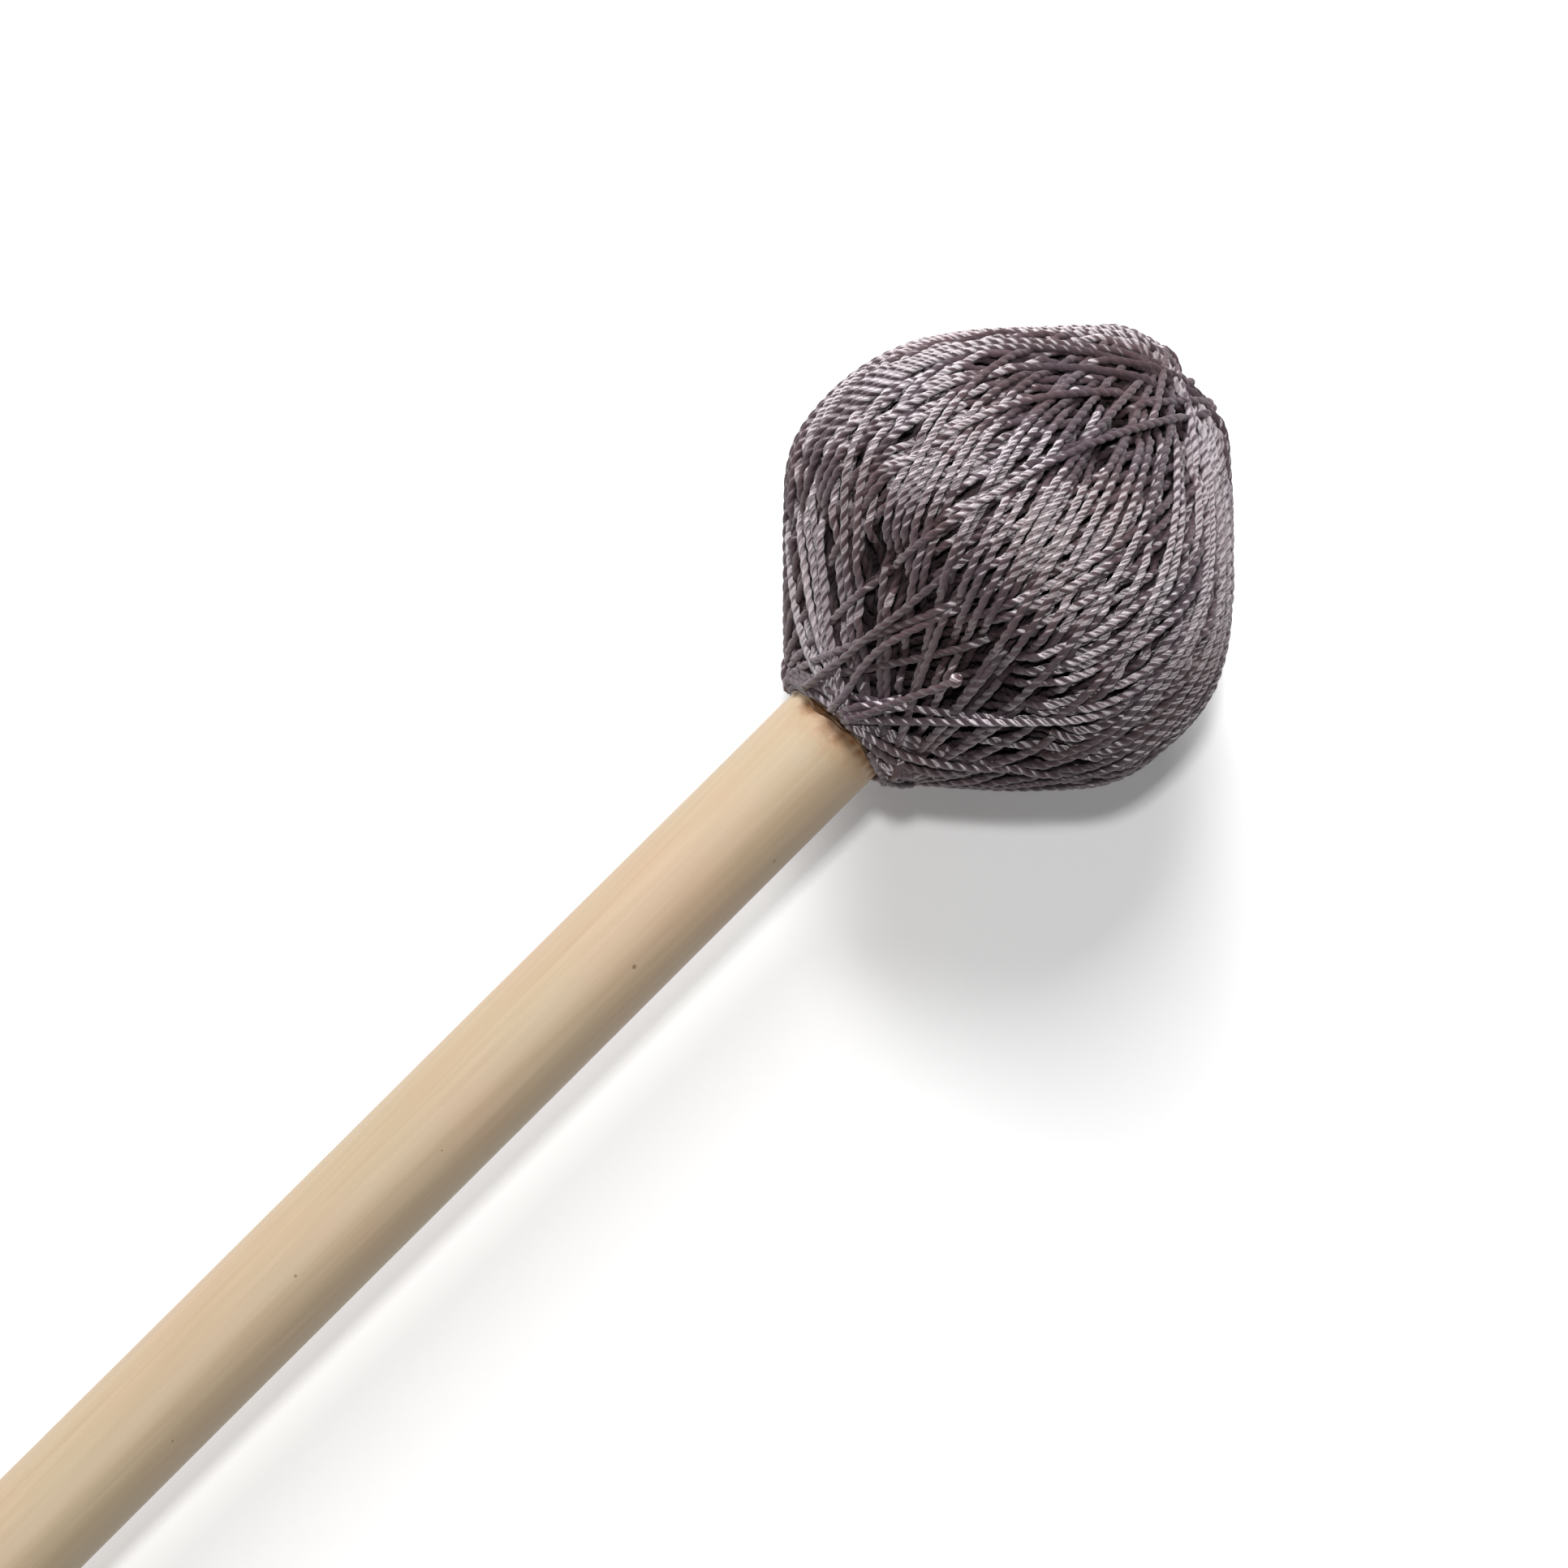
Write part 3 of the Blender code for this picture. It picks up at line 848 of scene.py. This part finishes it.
# The neck's stitching: wraps round the shaft, then stitches that lock them to the winding.
neck = CordMesh()
neck.add(round_neck(2.15, 0.6, 4.33, 0.12, 0.55, 3), 0.35)
neck.add(round_neck(1.25, 3.4, 4.80, 0.26, 0.35, 4), 0.5)
neck.add(round_neck(1.1, 5.0, 5.02, 0.80, 0.25, 5), 0.4)
for places in (
    # the strand that comes up over the wraps and runs straight up the head
    ((-0.6, -49, -0.55), (-0.1, -46.5, 0.05), (0.5, -41, 0.28), (1.3, -35, 0.22), (3.0, -27, 0.12),
     (4.7, -21.5, 0.08), (9.0, -13.5, 0.02), (12.0, -10.4, -0.1), (14.6, -8.6, -0.75), (17, -7.5, -1.6)),
    # beside it, one that starts further round
    ((-0.5, -17, -0.5), (0.0, -15.5, 0.1), (0.8, -13.5, 0.2), (2.0, -12.5, 0.1), (4.2, -13, 0.05),
     (6.5, -11.0, 0.0), (8.5, -7.5, -0.12), (11.5, -2.0, -0.7), (13.5, 1.0, -1.5)),
    # a bundle side by side, from which the tail and the bright strand leave
    ((-0.3, -9.5, -0.4), (0.15, -9.0, 0.05), (1.1, -5.5, 0.25), (2.0, -1.0, 0.18), (3.0, 5.0, -0.1), (4.4, 11, -0.7)),
    ((-0.3, -6.0, -0.4), (0.05, -6.5, 0.05), (0.75, -3.5, 0.25), (1.55, 1.5, 0.2), (2.6, 8.0, 0.0), (4.3, 16, -0.6)),
    ((-0.3, -2.0, -0.4), (0.0, -3.0, 0.05), (0.45, 0.0, 0.25), (1.2, 5.0, 0.25), (2.3, 13.0, 0.12),
     (4.1, 21.5, 0.08), (7.1, 30.5, 0.05), (11.1, 39.3, 0.02), (15, 45.5, -0.1), (18.5, 50, -0.5), (22, 54, -1.4)),
    ((-0.2, 3.0, -0.3), (0.1, 4.0, 0.15), (0.5, 12, 0.2), (0.9, 24, 0.15), (1.6, 38, 0.1), (2.9, 50, 0.02),
     (5.2, 60, -0.1), (8.0, 68, -0.5), (11, 74, -1.3)),
    ((-0.2, 16, -0.3), (0.1, 20, 0.0), (0.35, 30, 0.1), (0.9, 44, 0.12), (1.9, 56, 0.05), (3.6, 66, -0.1), (6, 74, -0.8)),
    # the knot low on the side
    ((-0.3, 44, -0.3), (0.1, 46, 0.2), (0.8, 50, 0.35), (1.5, 57, 0.2), (1.9, 64, -0.3)),
    ((-0.1, 50, -0.3), (0.3, 51, 0.3), (1.0, 55, 0.5), (1.6, 61, 0.35), (2.0, 67, -0.2)),
    ((1.6, 46, -0.3), (1.3, 49, 0.3), (0.9, 54, 0.75), (0.5, 60, 0.5), (0.2, 65, -0.2)),
    ((-0.2, 60, -0.3), (0.2, 62, 0.2), (0.9, 66, 0.3), (1.7, 70, -0.2)),
):
    neck.add(laid_cord(places), 0.25 + 0.6 * rng.random())
for k in range(7):  # lock stitches round the rest of the neck
    a = 82 + k * 25.5 + 5 * rng.standard_normal()
    lean = 10 + 4 * rng.standard_normal()
    neck.add(
        laid_cord(
            ((-0.4, a, -0.5), (0.0, a + 0.1 * lean, 0.0), (0.7, a + 0.4 * lean, 0.08), (1.5, a + 0.8 * lean, 0.0), (2.1, a + lean, -0.4))
        ),
        rng.random(),
    )
neck = neck.build("neck_lashing", CORD)
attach(neck, "root")
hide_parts("neck_stitches")

tail = CordMesh()
tail.add(
    laid_cord(
        ((0.2, -4.5, 0.1), (0.9, 0.0, 0.45), (1.6, 3.6, 0.40), (3.4, 7.8, 0.22), (5.4, 11.2, 0.16), (7.3, 13.6, 0.20), (9.0, 14.9, 0.32)),
        tip=True,
        phase=0.6,
    ),
    0.75,
)
tail = tail.build("cut_tail", CORD)
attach(tail, "root")
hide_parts("thread_tail")

# The crown's stitches, drawn down between the strands that turn there.
crown = CordMesh()
end = HEAD.length
for k in range(7):
    a = k * 360 / 7 + 6 * rng.standard_normal()
    out, inner = 3.3 + 0.5 * rng.random(), 0.5 + 0.3 * rng.random()
    crown.add(
        laid_cord(
            (
                (end - out, a - 8, -0.9),
                (end - out + 0.5, a - 5, -0.28),
                (end - (out + inner) / 2, a, -0.08),
                (end - inner - 0.4, a + 6, -0.25),
                (end - inner, a + 12, -1.0),
            ),
            thick=1.0,
        ),
        rng.random(),
    )
crown = crown.build("crown_lashing", CORD)
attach(crown, "root")
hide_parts("crown_stitches")

# The glue in the corner between shaft and wraps: a thin uneven line, thicker where it ran.
n, k = 240, 8
a = np.linspace(0, 2 * math.pi, n, endpoint=False)
g = np.random.default_rng(21)
run = sum(0.05 * g.standard_normal() * np.sin(q * a + g.random() * 6.28) for q in (3, 5, 8, 13))
blob = np.exp(-(((np.degrees(a) + 180) % 360 - 180 + 28) / 13) ** 2) + 0.8 * np.exp(
    -(((np.degrees(a) + 180) % 360 - 180 - 2) / 9) ** 2
)
reach = np.maximum(0.12 + run + 0.34 * blob, 0.05)
high = np.maximum(0.10 + 0.4 * run + 0.12 * blob, 0.05)
arc = np.linspace(0, math.pi, k)
rr = 3.97 + np.outer(high, np.sin(arc))
hh = 0.10 - np.outer(reach, (1 - np.cos(arc)) / 2) - 0.02
pts = np.stack([-rr * np.cos(a)[:, None], -rr * np.sin(a)[:, None], NECK + hh], -1)
verts = world(pts.reshape(-1, 3))
grid = np.arange(n * k).reshape(n, k)
nxt = np.roll(grid, -1, axis=0)
faces = np.stack([grid[:, :-1], grid[:, 1:], nxt[:, 1:], nxt[:, :-1]], -1).reshape(-1, 4)
mesh = bpy.data.meshes.new("glue_line")
mesh.from_pydata(verts.tolist(), [], faces.tolist())
mesh.shade_smooth()
mesh.materials.append(glue_material("amber_glue", (0.16, 0.07, 0.022)))
glue = bpy.data.objects.new("glue_line", mesh)
bpy.context.scene.collection.objects.link(glue)
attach(glue, "root")
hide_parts("neck_glue_bead")

# The shaft: turned cane, a touch uneven along its length, rounded at the butt.
tip = 5.2 + 20.0 - 1.6
line = [(3.5, NECK + 3.2), (4.0, NECK + 1.0)]
line += [(SHAFT_R, h) for h in np.arange(NECK + 0.5, 1.5, -1.25)]
line += [
    (SHAFT_R - 1.2 * (1 - math.cos(math.radians(q))), 1.2 * (1 - math.sin(math.radians(q))))
    for q in range(0, 91, 9)
]
line = [(0.02, NECK + tip), (2.6, NECK + tip), (3.2, NECK + tip - 0.12), (3.5, NECK + tip - 0.5)] + line
line += [(2.0, 0.0), (1.0, 0.0), (0.02, 0.0)]
line = np.array(line)
n = 144
a = np.linspace(0, 2 * math.pi, n, endpoint=False)
h, r = line[:, 1][:, None], line[:, 0][:, None]
g = np.random.default_rng(5)
uneven = sum(
    0.012 * g.standard_normal() * np.sin(h / (9 + 22 * k) + q * a[None, :] + g.random() * 6.28)
    for k, q in enumerate((0, 1, 2, 3, 2))
)
uneven = uneven + 0.006 * np.sin(17 * a + 2.0)[None, :] * np.sin(h / 60)
rr = r + np.where(r > 3.9, uneven - 0.012, 0)
pts = np.stack([-rr * np.cos(a), -rr * np.sin(a), np.broadcast_to(h, rr.shape)], -1)
shaft = CordMesh()
shaft.add(pts[::-1], 0.5)
shaft = shaft.build("turned_cane", cane_material())
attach(shaft, "root")
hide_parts("rattan_shaft")
for name, look in (("rubber_core", rubber_material()), ("core_bond", glue_material("clear_bond", (0.30, 0.20, 0.09)))):
    for slot in bpy.data.objects[name].material_slots:
        slot.material = look

# ---------------------------------------------------------------- floor and light
bpy.ops.mesh.primitive_plane_add(size=6.0, location=(0, 0, 0))
floor = bpy.context.object
floor.name = "floor"
table = simple_material("floor", (0.9, 0.9, 0.9), 0.8)
glow = table.node_tree.nodes["Principled BSDF"].inputs
glow["Emission Color"].default_value = (1, 1, 1, 1)  # a light table, which keeps shadows pale
glow["Emission Strength"].default_value = 0.14
floor.data.materials.append(table)


def area(name, place, size, watts, colour=(1, 1, 1)):
    """A soft rectangle of light; its first side lies across the mallet's axis."""
    data = bpy.data.lights.new(name, "AREA")
    data.energy, data.color = watts, colour
    data.shape, data.size, data.size_y = "RECTANGLE", size[0], size[1]
    obj = bpy.data.objects.new(name, data)
    bpy.context.scene.collection.objects.link(obj)
    way = (Vector(place) - AIMED).normalized()
    along = Vector(TURN[:, 2])
    along = (along - way * along.dot(way)).normalized()
    m = Matrix((along.cross(way), along, way)).transposed().to_4x4()
    m.translation = place
    obj.matrix_world = m
    return obj


def seen_from(right, up, near):
    """A place given in the picture's own directions, in metres from the head."""
    return AIMED + RIGHT * right + TOP * up + BACK * near


def watts(white, place):
    """The power that gives a white surface facing the light this radiance."""
    return white * math.pi**2 * (Vector(place) - AIMED).length_squared


def from_axis(up, left, crown, distance):
    """A place given by directions up from the shaft, across it and towards the crown."""
    way = Vector((-up, left, crown))
    return AIMED + Vector(TURN @ np.array(way.normalized())) * distance


place = from_axis(0.70, LEFT * 0.60, 0.42, 0.66)
area("key", place, (0.50, 0.16), watts(1.33, place))
place = from_axis(1.0, LEFT * 0.12, -0.06, 0.9)
area("overhead", place, (0.06, 0.06), watts(0.42, place))
place = from_axis(0.45, LEFT * -0.75, -0.45, 0.8)
area("fill", place, (0.60, 0.40), watts(0.05, place))
place = seen_from(0.52, 0.40, 0.16)
area("rim", place, (0.10, 0.30), watts(0.02, place), (0.84, 0.92, 1.0))

world_look = bpy.data.worlds.new("studio")
world_look.use_nodes = True
world_look.node_tree.nodes["Background"].inputs[0].default_value = (1, 1, 1, 1)
world_look.node_tree.nodes["Background"].inputs[1].default_value = 0.09
bpy.context.scene.world = world_look
bpy.context.scene.view_settings.view_transform = "Standard"
